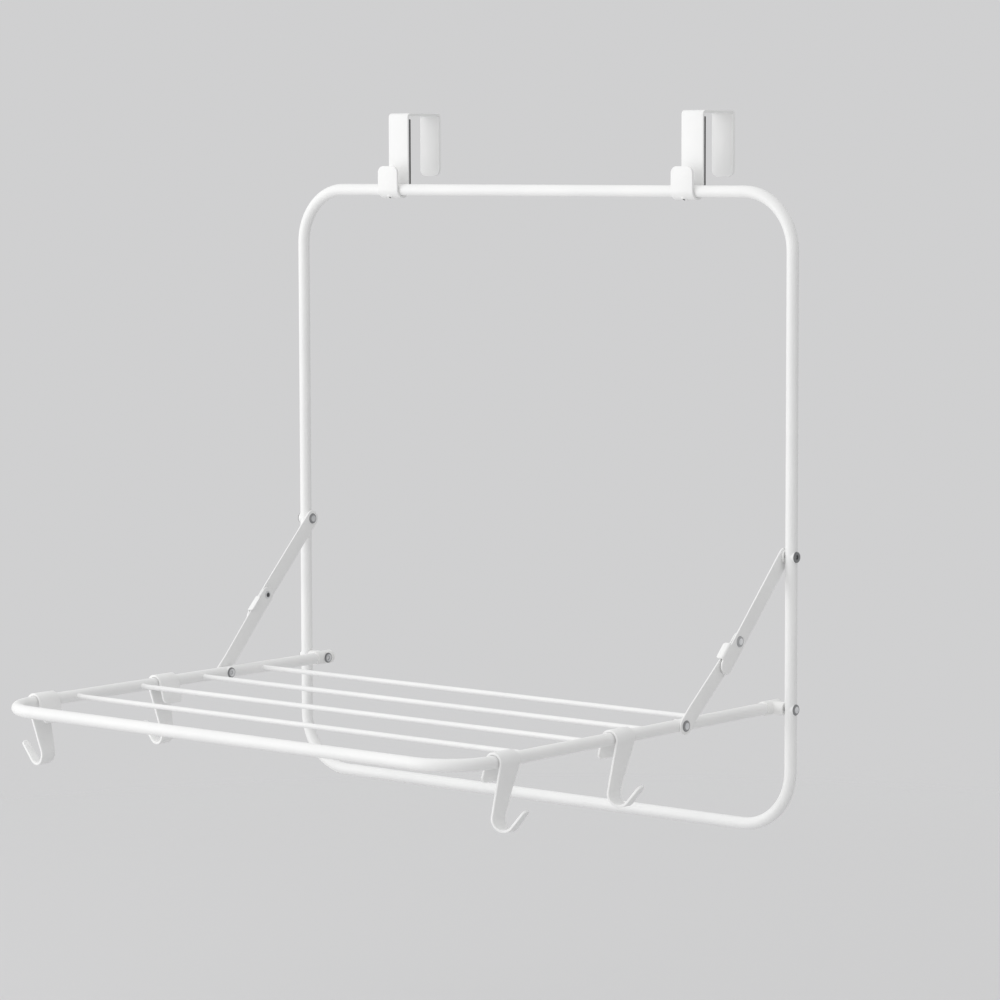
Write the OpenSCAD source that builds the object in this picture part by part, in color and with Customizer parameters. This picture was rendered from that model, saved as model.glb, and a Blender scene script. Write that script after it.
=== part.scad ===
// Over-the-door drying rack with a fold-down shelf.
// +X runs along the door's width, -Y points away from the door and +Z is up.
// The origin lies on the door's top front edge, midway between the two over-door hooks.
// The right-hand pieces are drawn; the left-hand ones are their mirror images.

/* [Wall frame] */
// Width of the wall frame over its side tubes
frame_w = 513.5; // [440:0.5:640]
// Height of the wall frame over its top and bottom rails
frame_h = 500; // [440:1:640]
// Outer diameter of the frame and shelf tubes
tube_d = 9.5; // [9:0.5:11]
// Wall thickness of the tubes
tube_wall = 1; // [0.8:0.1:1.4]
// Bend radius of the frame's corners, at the tube's centre
frame_corner_r = 45; // [25:1:60]
// Centre of the top rail below the door's top edge
rail_drop = 61; // [45:1:90]

/* [Shelf] */
// Shelf pivot above the centre of the bottom rail
pivot_h = 93.5; // [75:0.5:100]
// Shelf pivot to the centre of the shelf's front rail
shelf_reach = 376; // [340:1:384]
// Bend radius of the shelf's front corners, at the tube's centre
shelf_corner_r = 39; // [30:1:60]
// Clear gap between a frame side tube and the shelf arm beside it
side_gap = 9; // [9:0.1:11]
// Diameter of the drying wires
wire_d = 4; // [3:0.5:6]
// First wire in front of the shelf pivot
first_wire = 78; // [60:0.5:84]
// Spacing of the wires
wire_pitch = 71.5; // [68:0.5:75]

/* [Arm end caps] */
// Wall thickness of a cap's sleeve over the arm
cap_wall = 0.9; // [0.8:0.1:1.2]
// Length of a cap in front of the shelf pivot
cap_front = 11; // [9:0.5:20]
// Solid thickness of a cap's closed end
cap_end = 4; // [3:0.5:5]
// Diameter of the bush between a cap and the frame tube
bush_d = 10.4; // [9:0.2:12]

/* [Folding braces] */
// Brace pivot above the shelf pivot, and arm rivet in front of it
brace_rise = 118; // [105:0.5:125]
// Angle by which each link has passed the straight line, so that the brace locks
lock_angle = 0.9; // [0.5:0.1:1.5]
// Width of the brace links
link_w = 13.5; // [12:0.5:15]
// Thickness of the brace links
link_t = 1.4; // [1.2:0.1:1.6]
// Flat length of the cranked lower link about each of its holes
crank_flat = 11; // [9:0.5:14]
// Clearance between the two links of a brace
link_gap = 0.15; // [0.1:0.05:0.2]
// Length of the upper link past the elbow
link_tail = 30; // [26:0.5:32]
// Thickness of the washer between the frame tube and the upper link
washer_t = 1.5; // [1.5:0.1:1.7]
// Diameter of the washer
washer_d = 10; // [9:0.5:12]
// Start of the stop tab past the elbow
tab_start = 8.5; // [8:0.5:10]
// Length of the stop tab along the link
tab_len = 14.5; // [8:0.5:15]
// Reach of the stop tab across the lower link
tab_reach = 6.2; // [4.8:0.1:6.4]
// Play between the stop tab and the lower link's edge
tab_play = 0.2; // [0.1:0.1:0.4]
// Corner radius of the stop tab
tab_corner_r = 2; // [1:0.5:3]

/* [Rivets] */
// Shank diameter of the pivot rivets
rivet_d = 4.8; // [4:0.1:5]
// Head diameter of the pivot rivets
rivet_head_d = 8.6; // [8:0.1:9]
// Height of a pivot rivet's domed head
rivet_head_h = 1.2; // [0.8:0.1:1.2]
// Height of the elbow rivet's thin tail
elbow_tail_h = 0.6; // [0.4:0.1:0.8]
// Diameter of the elbow rivet's thin tail
elbow_tail_d = 6.6; // [6:0.1:8]
// Bore in the elbow rivet's thin tail
elbow_bore = 2.4; // [1:0.1:3]
// Bore in a rivet's rolled tail
rivet_bore = 3; // [2:0.1:3.2]
// Radial running clearance of the pivot holes
run_gap = 0.05; // [0.02:0.01:0.1]

/* [Over-door hooks] */
// Centre of a hook from the middle of the rack
hook_x = 151.5; // [100:0.5:190]
// Width of a hook's steel strip
hook_w = 21; // [16:0.5:30]
// Thickness of a hook's steel strip
hook_t = 2; // [1.6:0.1:2.5]
// Door thickness that the hooks take
door_slot = 36; // [30:0.5:46]
// Length of a hook's leg behind the door
hook_rear = 50; // [30:1:80]
// Inner bend radius of a hook at the door's edges
hook_bend_r = 1.5; // [1:0.1:2]
// Inner width of the cradle that holds the top rail
cradle_w = 12; // [11:0.1:14]
// Top of the cradle's tongue above the top rail's centre
tongue_rise = 19.5; // [12:0.5:26]
// Corner radius of the strip's rounded ends
hook_corner_r = 5.5; // [3:0.5:8]
// Top of the foam pads below the door's top edge
pad_drop = 3; // [2.5:0.5:10]
// Thickness of the foam pad between a hook and the door
pad_t = 2; // [2:0.1:4]
// Diameter of the blind rivet that holds the top rail in its cradle
blind_d = 3.2; // [2.6:0.1:4]
// Head diameter of the blind rivet
blind_head_d = 5.6; // [5:0.1:7]
// Height of the blind rivet's head
blind_head_h = 0.8; // [0.5:0.1:1]
// Bore of the blind rivet
blind_bore = 2.2; // [1.4:0.1:2.4]
// Length of the blind rivet's shank inside the top rail
blind_tail = 1; // [0.5:0.5:2]
// Angle of the blind rivet, forward from straight down
blind_angle = 30; // [20:1:40]

/* [Garment hooks] */
// Width of a garment hook's steel strip at its crown
ghook_w = 21; // [16:0.5:24]
// Its width where the foot starts, as it narrows towards the tip
foot_w = 14; // [9:0.5:16]
// Thickness of a garment hook's steel strip
ghook_t = 2; // [1.6:0.1:2.1]
// Play of a garment hook over its tube, on the radius
ghook_play = 0.9; // [0.5:0.1:1]
// Gap between the hook's crown and the top of its tube
ghook_seat = 0.15; // [0.1:0.05:0.3]
// Lean of a hanging garment hook, its foot inward
ghook_lean = 16; // [10:1:20]
// Straight length of the inner flap
flap_len = 18; // [10:0.5:22]
// Corner radius of the inner flap
flap_corner_r = 5; // [3:0.5:8]
// Straight length of the outer leg
leg_len = 38; // [30:0.5:50]
// Centre-line radius of the hook's foot
foot_r = 8.5; // [7:0.5:10]
// Turn of the foot, from straight down towards straight up
foot_turn = 155; // [130:1:160]
// Straight length of the hook's tip
tip_len = 18.5; // [14:0.5:24]
// Width of the hook's tip
tip_w = 6.5; // [5:0.5:8]
// Room between a front hook and the start of the shelf's front bend
front_hook_room = 0.2; // [0.2:0.1:8]
// Room between a rear hook and the third wire in front of it
rear_hook_room = 15.5; // [1:0.5:30]

/* [Hidden] */
$fn = 48;

left = -1;
right = 1;
eps = 0.01;
past = 1; // overrun of a cut beyond the faces that it goes through
touch = 0.1; // gap between faces that bear on each other
fine = 160; // $fn of a full circle where only a small part of it is used

// Colours of the finishes
coat_white = "white";
cap_white = "whitesmoke";
zinc = "silver";
foam_grey = "dimgray";

// Tubes and planes
tube_r = tube_d / 2;
side_x = frame_w / 2 - tube_r;
cradle_r = cradle_w / 2;
cradle_y = -pad_t - hook_t - cradle_r;
cradle_slack = cradle_r - tube_r;
frame_y = cradle_y - cradle_slack * sin(blind_angle);
top_z = -rail_drop;
bottom_z = top_z - (frame_h - tube_d);
cradle_z = top_z + cradle_slack * cos(blind_angle);
arm_x = side_x - tube_d - side_gap;
pivot_z = bottom_z + pivot_h;

// Layers of a brace, from the frame tube inward
frame_inner = side_x - tube_r;
frame_outer = side_x + tube_r;
arm_outer = arm_x + tube_r;
upper_link_out = frame_inner - washer_t;
upper_link_in = upper_link_out - link_t;
lower_link_out = upper_link_in - link_gap;
crank = lower_link_out - (arm_outer + touch + link_t);

// Brace pivots; the links are equal, so that they fold flat on the frame.
// Lowered, the elbow lies a little behind and below the line between the outer pivots
half_span = brace_rise / sqrt(2);
link_len = half_span / cos(lock_angle);
elbow_sag = half_span * tan(lock_angle) / sqrt(2);
brace_z = pivot_z + brace_rise;
arm_rivet_y = frame_y - brace_rise;
elbow_y = frame_y - brace_rise / 2 + elbow_sag;
elbow_z = pivot_z + brace_rise / 2 - elbow_sag;
rivet_r = rivet_d / 2;
hole_r = rivet_r + run_gap;

// End caps
cap_r = tube_r + cap_wall;
cap_reach = -frame_y - 2 * touch;
arm_end = cap_reach - cap_end;

// Garment hooks, and their middles in front of the shelf pivot
ghook_r = tube_r + ghook_play;
ghook_drop = ghook_play - ghook_seat;
front_hook_at = shelf_reach - shelf_corner_r - front_hook_room - ghook_w / 2;
rear_hook_at = first_wire + 2 * wire_pitch - wire_d / 2 - rear_hook_room - ghook_w / 2;

// ---------------------------------------------------------------- helpers

// Draws its child on the right side, or mirrored on the left
module on_side(side) {
    if (side > 0) children();
    else mirror([1, 0, 0]) children();
}

// A rod along X, from x0 to x1, about the origin
module rod_x(r, x0, x1) {
    translate([x0, 0, 0]) rotate([0, 90, 0]) cylinder(r = r, h = x1 - x0);
}

// Turns a drawing so that its x axis points forward at an angle above level,
// and its z axis points inward, at a place on the right side
module side_plane(x, y, z, angle) {
    translate([x, y, z]) rotate([90, 0, -90]) rotate([0, 0, angle]) children();
}

// Turns a drawing so that its z axis points outward, at a place on the right side
module side_face(x, y, z) {
    translate([x, y, z]) rotate([90, 0, 90]) children();
}

// A quarter bend of a tube, in the XY plane, between +X and +Y
module quarter_bend(bend_r, r) {
    rotate_extrude(angle = 90) translate([bend_r, 0]) circle(r = r);
}

// Outline of a strip with round ends, from its first hole to its last
module strip_outline(len, w) {
    translate([0, -w / 2]) square([len, w]);
    circle(d = w);
    translate([len, 0]) circle(d = w);
}

// A plate w wide and h high, with its two upper corners rounded
module tongue_outline(w, h, r) {
    translate([-w / 2, 0]) square([w, h - r]);
    translate([-w / 2 + r, 0]) square([w - 2 * r, h]);
    for (s = [-1, 1]) translate([s * (w / 2 - r), h - r]) circle(r = r);
}

// Section of a strip's bend about the origin, drawn from angle a0 to a1
module bend_section(r_in, t, a0, a1) {
    far = 2 * (r_in + t);
    intersection() {
        difference() {
            circle(r = r_in + t);
            circle(r = r_in);
        }
        polygon(concat([[0, 0]], [for (i = [0 : 4]) far * unit(a0 + (a1 - a0) * i / 4)]));
    }
}

function unit(a) = [cos(a), sin(a)];

// ---------------------------------------------------------------- rivets

// Domed head that stands on the XY plane and rises along +Z
module dome_head(d, h) {
    dome_r = (d * d / 4 + h * h) / (2 * h);
    rotate_extrude() intersection() {
        translate([0, h - dome_r]) circle(r = dome_r, $fn = fine);
        square([d / 2, h]);
    }
}

// Rolled rim of a hollow tail, which stands on the XY plane
module rolled_rim(d, bore, h) {
    half = (d - bore) / 4;
    rim_r = (half * half + h * h) / (2 * h);
    rotate_extrude() intersection() {
        translate([bore / 2 + half, h - rim_r]) circle(r = rim_r);
        translate([bore / 2, 0]) square([2 * half, h]);
    }
}

// Skirt that fills the space between a flat rivet face and the round tube below it
module skirt(d, depth) {
    translate([0, 0, -depth]) cylinder(d = d, h = depth);
}

// ---------------------------------------------------------------- wall frame

// The frame's closed loop of tube, as a solid of radius r
module frame_loop(r) {
    half_w = side_x - frame_corner_r;
    half_h = (top_z - bottom_z) / 2 - frame_corner_r;
    mid_z = (top_z + bottom_z) / 2;
    translate([0, frame_y, mid_z]) rotate([90, 0, 0]) {
        for (s = [-1, 1]) {
            translate([s * side_x, -half_h, 0]) rotate([-90, 0, 0]) cylinder(r = r, h = 2 * half_h);
            translate([-half_w, s * (half_h + frame_corner_r), 0]) rotate([0, 90, 0])
                cylinder(r = r, h = 2 * half_w);
        }
        for (i = [0 : 3])
            translate([(i == 0 || i == 3 ? 1 : -1) * half_w, (i < 2 ? 1 : -1) * half_h, 0])
                rotate([0, 0, 90 * i]) quarter_bend(frame_corner_r, r);
    }
}

module wall_frame() {
    color(coat_white) difference() {
        frame_loop(tube_r);
        frame_loop(tube_r - tube_wall);
        for (s = [left, right]) on_side(s) {
            for (z = [pivot_z, brace_z])
                translate([0, frame_y, z]) rod_x(rivet_r, frame_inner - past, frame_outer + past);
            blind_axis() translate([0, 0, tube_r - tube_wall - past])
                cylinder(d = blind_d, h = tube_wall + 2 * past);
        }
    }
}

// ---------------------------------------------------------------- over-door hooks

// The blind rivet's axis, out of the top rail's centre through the cradle
module blind_axis() {
    translate([hook_x, frame_y, top_z]) rotate([180 - blind_angle, 0, 0]) children();
}

// Side section of a hook, drawn with x towards the door's back and y up
module hook_section() {
    leg_y = -pad_t - hook_t;
    translate([leg_y, cradle_z]) square([hook_t, -hook_bend_r - cradle_z]);
    translate([-pad_t + hook_bend_r, -hook_bend_r]) bend_section(hook_bend_r, hook_t, 90, 180);
    translate([-pad_t + hook_bend_r, 0]) square([door_slot + pad_t - 2 * hook_bend_r, hook_t]);
    translate([door_slot - hook_bend_r, -hook_bend_r]) bend_section(hook_bend_r, hook_t, 0, 90);
    translate([cradle_y, cradle_z]) bend_section(cradle_r, hook_t, 180, 360);
}

module over_door_hook(side) {
    color(coat_white) on_side(side) difference() {
        union() {
            translate([hook_x - hook_w / 2, 0, 0]) rotate([90, 0, 90])
                linear_extrude(hook_w) hook_section();
            // tongue in front of the top rail
            translate([hook_x, cradle_y - cradle_r, cradle_z]) rotate([90, 0, 0])
                linear_extrude(hook_t) tongue_outline(hook_w, top_z + tongue_rise - cradle_z, hook_corner_r);
            // leg behind the door
            translate([hook_x, door_slot, -hook_bend_r]) rotate([-90, 0, 0])
                linear_extrude(hook_t) tongue_outline(hook_w, hook_rear - hook_bend_r, hook_corner_r);
        }
        blind_axis() cylinder(d = blind_d, h = tube_r + hook_t + past);
    }
}

module door_pad(side) {
    pad_z = top_z - tube_r;
    color(foam_grey) on_side(side)
        translate([hook_x - hook_w / 2, -pad_t, pad_z]) cube([hook_w, pad_t, -pad_drop - pad_z]);
}

// Blind rivet, coated with the hook: low head with an open bore, shank into the rail
module hook_rivet(side) {
    inner_end = tube_r - tube_wall - blind_tail;
    shank_len = hook_t + tube_wall + blind_tail;
    color(coat_white) on_side(side) blind_axis() difference() {
        union() {
            translate([0, 0, inner_end]) cylinder(d = blind_d, h = shank_len);
            difference() {
                translate([0, 0, tube_r + hook_t]) {
                    dome_head(blind_head_d, blind_head_h);
                    skirt(blind_head_d, blind_head_h);
                }
                // seat on the cradle's round bottom
                translate([0, 0, -cradle_slack]) rod_x(cradle_r + hook_t, -blind_head_d, blind_head_d);
            }
        }
        translate([0, 0, inner_end - past])
            cylinder(d = blind_bore, h = shank_len + blind_head_h + 2 * past);
    }
}

// ---------------------------------------------------------------- shelf

// The shelf's U of tube, as a solid of radius r whose arms end behind the pivots
module shelf_loop(r, end) {
    arm_len = shelf_reach - shelf_corner_r + end;
    translate([0, frame_y, pivot_z]) {
        for (s = [left, right]) on_side(s) {
            translate([arm_x, end, 0]) rotate([90, 0, 0]) cylinder(r = r, h = arm_len);
            translate([arm_x - shelf_corner_r, -shelf_reach + shelf_corner_r, 0])
                rotate([0, 0, -90]) quarter_bend(shelf_corner_r, r);
        }
        translate([0, -shelf_reach, 0]) rod_x(r, -arm_x + shelf_corner_r, arm_x - shelf_corner_r);
    }
}

module shelf_tube() {
    color(coat_white) difference() {
        shelf_loop(tube_r, arm_end);
        shelf_loop(tube_r - tube_wall, arm_end + eps);
        for (s = [left, right]) on_side(s)
            for (y = [frame_y, arm_rivet_y])
                translate([0, y, pivot_z])
                    rod_x(y == frame_y ? hole_r : rivet_r, arm_x - tube_d, arm_x + tube_d);
    }
}

// A drying wire, its ends coped to the arms
module wire(i) {
    color(coat_white) difference() {
        translate([0, frame_y - first_wire - (i - 1) * wire_pitch, pivot_z])
            rod_x(wire_d / 2, -arm_x, arm_x);
        for (s = [left, right])
            translate([s * arm_x, frame_y + arm_end, pivot_z]) rotate([90, 0, 0])
                cylinder(r = tube_r, h = shelf_reach);
    }
}

// Plastic cap over the arm's rear end, domed about the pivot
module arm_cap(side) {
    color(cap_white) on_side(side) difference() {
        intersection() {
            translate([arm_x, frame_y + cap_reach, pivot_z]) rotate([90, 0, 0])
                cylinder(r = cap_r, h = cap_reach + cap_front);
            union() {
                translate([arm_x, frame_y, pivot_z]) sphere(r = cap_reach);
                translate([arm_x - cap_r, frame_y - cap_front, pivot_z - cap_r])
                    cube([2 * cap_r, cap_front, 2 * cap_r]);
            }
        }
        translate([arm_x, frame_y + arm_end, pivot_z]) rotate([90, 0, 0])
            cylinder(r = tube_r, h = arm_end + cap_front + past);
        translate([0, frame_y, pivot_z]) rod_x(hole_r, arm_x - 2 * cap_r, arm_x + 2 * cap_r);
    }
}

// Bush on the shelf pivot that keeps the arm off the frame tube
module pivot_bush(side) {
    color(cap_white) on_side(side) difference() {
        translate([0, frame_y, pivot_z]) rod_x(bush_d / 2, arm_x + tube_r, frame_inner - touch);
        translate([0, frame_y, pivot_z]) rod_x(hole_r, arm_x, frame_inner + past);
        translate([arm_x, frame_y + cap_reach, pivot_z]) rotate([90, 0, 0])
            cylinder(r = cap_r, h = 2 * cap_reach);
    }
}

// ---------------------------------------------------------------- rivets in the tubes

// Shank along the side plane's z axis, from z = 0 to z = grip
module shank(grip) {
    translate([0, 0, -eps]) cylinder(r = rivet_r, h = grip + 2 * eps);
}

// Domed head that stands before z = 0, on a skirt of a given depth behind it
module head(depth) {
    mirror([0, 0, 1]) dome_head(rivet_head_d, rivet_head_h);
    if (depth > 0) cylinder(d = rivet_head_d, h = depth);
}

// Rolled tail that stands past z = grip, on a skirt of a given depth before it
module tail(grip, depth) {
    translate([0, 0, grip]) rolled_rim(rivet_head_d, rivet_bore, rivet_head_h);
    if (depth > 0) translate([0, 0, grip - depth]) cylinder(d = rivet_head_d, h = depth);
}

// Bore of a rolled tail
module tail_bore(grip) {
    translate([0, 0, grip - rivet_d]) cylinder(d = rivet_bore, h = rivet_d + 2 * rivet_head_h);
}

// The frame's side tube, for cutting what is seated on it
module frame_side(r) {
    translate([side_x, frame_y, bottom_z + frame_corner_r]) cylinder(r = r, h = frame_h - 2 * frame_corner_r);
}

// Part of the shelf's right arm, for cutting what is seated on it
module arm_side(r) {
    translate([arm_x, frame_y + cap_reach, pivot_z]) rotate([90, 0, 0])
        cylinder(r = r, h = shelf_reach - shelf_corner_r);
}

// Fixed in the frame tube, its tail rolled over outside; the upper link turns on it
module brace_rivet(side) {
    face = upper_link_in - touch;
    grip = frame_outer - face;
    color(zinc) on_side(side) difference() {
        union() {
            difference() {
                side_face(face, frame_y, brace_z) tail(grip, tube_r);
                frame_side(tube_r);
            }
            side_face(face, frame_y, brace_z) {
                head(0);
                shank(grip);
            }
        }
        side_face(face, frame_y, brace_z) tail_bore(grip);
    }
}

// Plastic washer that keeps the upper link and the elbow rivet's head clear of the frame tube
module brace_washer(side) {
    color(cap_white) on_side(side) difference() {
        translate([0, frame_y, brace_z]) rod_x(washer_d / 2, upper_link_out + touch / 2, side_x);
        translate([0, frame_y, brace_z]) rod_x(rivet_r, upper_link_out - past, side_x + past);
        frame_side(tube_r);
    }
}

// Fixed in the frame tube; the shelf arm, its cap and the bush turn on it
module shelf_rivet(side) {
    grip = frame_outer - (arm_x - cap_r) + touch;
    color(zinc) on_side(side) difference() {
        union() {
            difference() {
                side_plane(frame_outer, frame_y, pivot_z, 0) head(tube_r);
                frame_side(tube_r);
            }
            side_plane(frame_outer, frame_y, pivot_z, 0) {
                shank(grip);
                tail(grip, 0);
            }
        }
        side_plane(frame_outer, frame_y, pivot_z, 0) tail_bore(grip);
    }
}

// Fixed in the shelf arm; the lower link turns on it
module arm_rivet(side) {
    face = lower_link_out - crank + touch;
    grip = face - (arm_x - tube_r);
    color(zinc) on_side(side) difference() {
        union() {
            difference() {
                side_plane(face, arm_rivet_y, pivot_z, 0) tail(grip, tube_r);
                arm_side(tube_r);
            }
            side_plane(face, arm_rivet_y, pivot_z, 0) {
                head(0);
                shank(grip);
            }
        }
        side_plane(face, arm_rivet_y, pivot_z, 0) tail_bore(grip);
    }
}

// ---------------------------------------------------------------- brace links

// Stop tab: an ear on the link's upper edge, folded inward over the lower link
module stop_tab() {
    tab_end = tab_start + tab_len;
    tab_foot = link_w / 2 / cos(2 * lock_angle) + tab_end * tan(2 * lock_angle) + tab_play;
    translate([link_len + tab_start, 0, 0]) {
        cube([tab_len, tab_foot + link_t, link_t]);
        translate([tab_len / 2, tab_foot, 0]) rotate([90, 0, 0]) mirror([0, 0, 1])
            linear_extrude(link_t) tongue_outline(tab_len, tab_reach, tab_corner_r);
    }
}

module upper_link(side) {
    color(coat_white) on_side(side)
        side_plane(upper_link_out, frame_y, brace_z, -45 - lock_angle) difference() {
            union() {
                linear_extrude(link_t) strip_outline(link_len + link_tail - link_w / 2, link_w);
                stop_tab();
            }
            translate([0, 0, -past]) cylinder(r = hole_r, h = link_t + 2 * past);
            translate([link_len, 0, -past]) cylinder(r = rivet_r, h = link_t + 2 * past);
        }
}

// Head half of the elbow rivet, fixed in the upper link
module elbow_rivet(side) {
    color(zinc) on_side(side) side_plane(upper_link_out, elbow_y, elbow_z, 0) {
        mirror([0, 0, 1]) dome_head(rivet_head_d, rivet_head_h);
        cylinder(r = rivet_r, h = link_t);
    }
}

// The lower link is cranked: it lies on the shelf arm at its foot and under the upper link
// at its head, so its section is cut out of a straight strip's outline
module lower_link(side) {
    beyond = link_w;
    color(coat_white) on_side(side)
        side_plane(lower_link_out, arm_rivet_y, pivot_z, 135 + lock_angle) difference() {
            intersection() {
                translate([0, 0, -past]) linear_extrude(crank + link_t + 2 * past)
                    strip_outline(link_len, link_w);
                translate([0, link_w, 0]) rotate([90, 0, 0]) linear_extrude(2 * link_w) polygon([
                    [-beyond, crank], [crank_flat, crank],
                    [link_len - crank_flat, 0], [link_len + beyond, 0],
                    [link_len + beyond, link_t], [link_len - crank_flat, link_t],
                    [crank_flat, crank + link_t], [-beyond, crank + link_t]
                ]);
            }
            translate([0, 0, -past]) cylinder(r = hole_r, h = crank + link_t + 2 * past);
            translate([link_len, 0, -past]) cylinder(r = rivet_r, h = link_t + 2 * past);
        }
}

// Tail half of the elbow rivet, fixed in the lower link
module elbow_tail(side) {
    color(zinc) on_side(side) side_plane(lower_link_out, elbow_y, elbow_z, 0) difference() {
        union() {
            cylinder(r = rivet_r, h = link_t + eps);
            translate([0, 0, link_t]) rolled_rim(elbow_tail_d, elbow_bore, elbow_tail_h);
        }
        translate([0, 0, -past]) cylinder(d = elbow_bore, h = link_t + elbow_tail_h + 2 * past);
    }
}

// ---------------------------------------------------------------- garment hooks

// Plan of the hook's foot and tip, seen from above: it narrows from root to a round tip
module tip_plan(root, tip) {
    polygon([
        [-2 * ghook_r, -foot_w / 2], [root, -foot_w / 2], [tip - tip_w / 2, -tip_w / 2],
        [tip - tip_w / 2, tip_w / 2], [root, foot_w / 2], [-2 * ghook_r, foot_w / 2]
    ]);
    translate([tip - tip_w / 2, 0]) circle(d = tip_w);
}

// The outer leg's plate, drawn with x up and y across; it narrows downwards
module leg_outline() {
    polygon([
        [eps, -ghook_w / 2], [0, -ghook_w / 2], [-leg_len, -foot_w / 2], [-leg_len - eps, -foot_w / 2],
        [-leg_len - eps, foot_w / 2], [-leg_len, foot_w / 2], [0, ghook_w / 2], [eps, ghook_w / 2]
    ]);
}

// The hook in its own frame: x outward, y up, its crown's centre at the origin,
// and the strip's width along z
module garment_hook_body() {
    leg_in = ghook_r;
    foot_in = foot_r - ghook_t / 2;
    foot_x = leg_in + ghook_t / 2 + foot_r;
    tip_x = foot_x + foot_r * cos(180 + foot_turn);
    tip_y = -leg_len + foot_r * sin(180 + foot_turn);
    tip_reach = tip_x + tip_len * sin(foot_turn);
    // crown
    translate([0, 0, -ghook_w / 2]) linear_extrude(ghook_w) bend_section(ghook_r, ghook_t, 0, 180);
    // outer leg
    translate([leg_in, 0, 0]) rotate([90, 0, 90]) linear_extrude(ghook_t) leg_outline();
    // inner flap
    rotate([0, -90, 0]) rotate([0, 0, 180]) translate([0, -eps, ghook_r]) linear_extrude(ghook_t)
        tongue_outline(ghook_w, flap_len + eps, flap_corner_r);
    // foot and tip
    intersection() {
        translate([0, 0, -ghook_w / 2]) linear_extrude(ghook_w) {
            translate([foot_x, -leg_len]) bend_section(foot_in, ghook_t, 180, 180 + foot_turn);
            translate([tip_x, tip_y]) rotate([0, 0, foot_turn - 90])
                translate([-eps, -ghook_t / 2]) square([tip_len + eps, ghook_t]);
        }
        rotate([90, 0, 0]) translate([0, 0, -leg_len]) linear_extrude(3 * leg_len)
            tip_plan(leg_in + ghook_t, tip_reach);
    }
}

module garment_hook(side, at) {
    color(coat_white) on_side(side)
        translate([arm_x, frame_y - at, pivot_z - ghook_drop])
            rotate([0, ghook_lean, 0]) rotate([90, 0, 0]) garment_hook_body();
}

// ---------------------------------------------------------------- nodes

wall_frame();
over_door_hook(left);  // over_door_hook_left
over_door_hook(right);  // over_door_hook_right
door_pad(left);  // door_pad_left
door_pad(right);  // door_pad_right
hook_rivet(left);  // hook_rivet_left
hook_rivet(right);  // hook_rivet_right
brace_rivet(left);  // brace_rivet_left
brace_rivet(right);  // brace_rivet_right
brace_washer(left);  // brace_washer_left
brace_washer(right);  // brace_washer_right
shelf_rivet(left);  // shelf_rivet_left
shelf_rivet(right);  // shelf_rivet_right
shelf_tube();
wire(1);  // wire_1
wire(2);  // wire_2
wire(3);  // wire_3
wire(4);  // wire_4
arm_cap(left);  // arm_cap_left
arm_cap(right);  // arm_cap_right
pivot_bush(left);  // pivot_bush_left
pivot_bush(right);  // pivot_bush_right
arm_rivet(left);  // arm_rivet_left
arm_rivet(right);  // arm_rivet_right
upper_link(left);  // upper_link_left
upper_link(right);  // upper_link_right
elbow_rivet(left);  // elbow_rivet_left
elbow_rivet(right);  // elbow_rivet_right
lower_link(left);  // lower_link_left
lower_link(right);  // lower_link_right
elbow_tail(left);  // elbow_tail_left
elbow_tail(right);  // elbow_tail_right
garment_hook(left, front_hook_at);  // front_hook_left
garment_hook(right, front_hook_at);  // front_hook_right
garment_hook(left, rear_hook_at);  // rear_hook_left
garment_hook(right, rear_hook_at);  // rear_hook_right
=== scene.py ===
"""Over-the-door folding drying rack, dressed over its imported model.

The rack hangs from a door's top edge. A shelf of tube and wire folds down from its frame on
two locking braces, and four strip hooks slide on the shelf's arms. All lengths are in metres.
"""
import math

import bmesh
import bpy
from mathutils import Matrix, Vector


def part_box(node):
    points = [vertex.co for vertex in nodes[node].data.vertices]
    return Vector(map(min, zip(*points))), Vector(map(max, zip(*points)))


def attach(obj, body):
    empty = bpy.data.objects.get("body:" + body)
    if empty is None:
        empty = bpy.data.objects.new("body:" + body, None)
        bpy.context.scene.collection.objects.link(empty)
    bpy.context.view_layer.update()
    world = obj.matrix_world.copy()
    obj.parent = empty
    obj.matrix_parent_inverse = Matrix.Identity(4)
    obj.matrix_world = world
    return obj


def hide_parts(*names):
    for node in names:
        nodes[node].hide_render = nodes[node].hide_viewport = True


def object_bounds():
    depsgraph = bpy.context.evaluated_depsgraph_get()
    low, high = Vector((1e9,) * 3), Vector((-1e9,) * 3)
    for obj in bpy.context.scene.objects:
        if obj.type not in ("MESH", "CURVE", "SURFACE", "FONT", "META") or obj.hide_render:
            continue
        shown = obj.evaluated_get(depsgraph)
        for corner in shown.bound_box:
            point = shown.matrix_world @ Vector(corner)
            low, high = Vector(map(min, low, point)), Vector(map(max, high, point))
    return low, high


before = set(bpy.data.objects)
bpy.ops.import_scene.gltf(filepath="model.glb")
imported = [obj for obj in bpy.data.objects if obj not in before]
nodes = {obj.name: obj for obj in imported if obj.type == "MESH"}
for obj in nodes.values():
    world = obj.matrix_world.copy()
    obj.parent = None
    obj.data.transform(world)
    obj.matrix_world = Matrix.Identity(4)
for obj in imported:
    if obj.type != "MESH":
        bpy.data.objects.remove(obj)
cad_box = [list(corner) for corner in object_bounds()]
bpy.ops.object.select_all(action="DESELECT")

# ---------------------------------------------------------------- camera
# The rack is seen from the right and a little from above its middle, through a long lens.
# The camera is placed by its eye point and its three angles, and has no shift.

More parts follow.
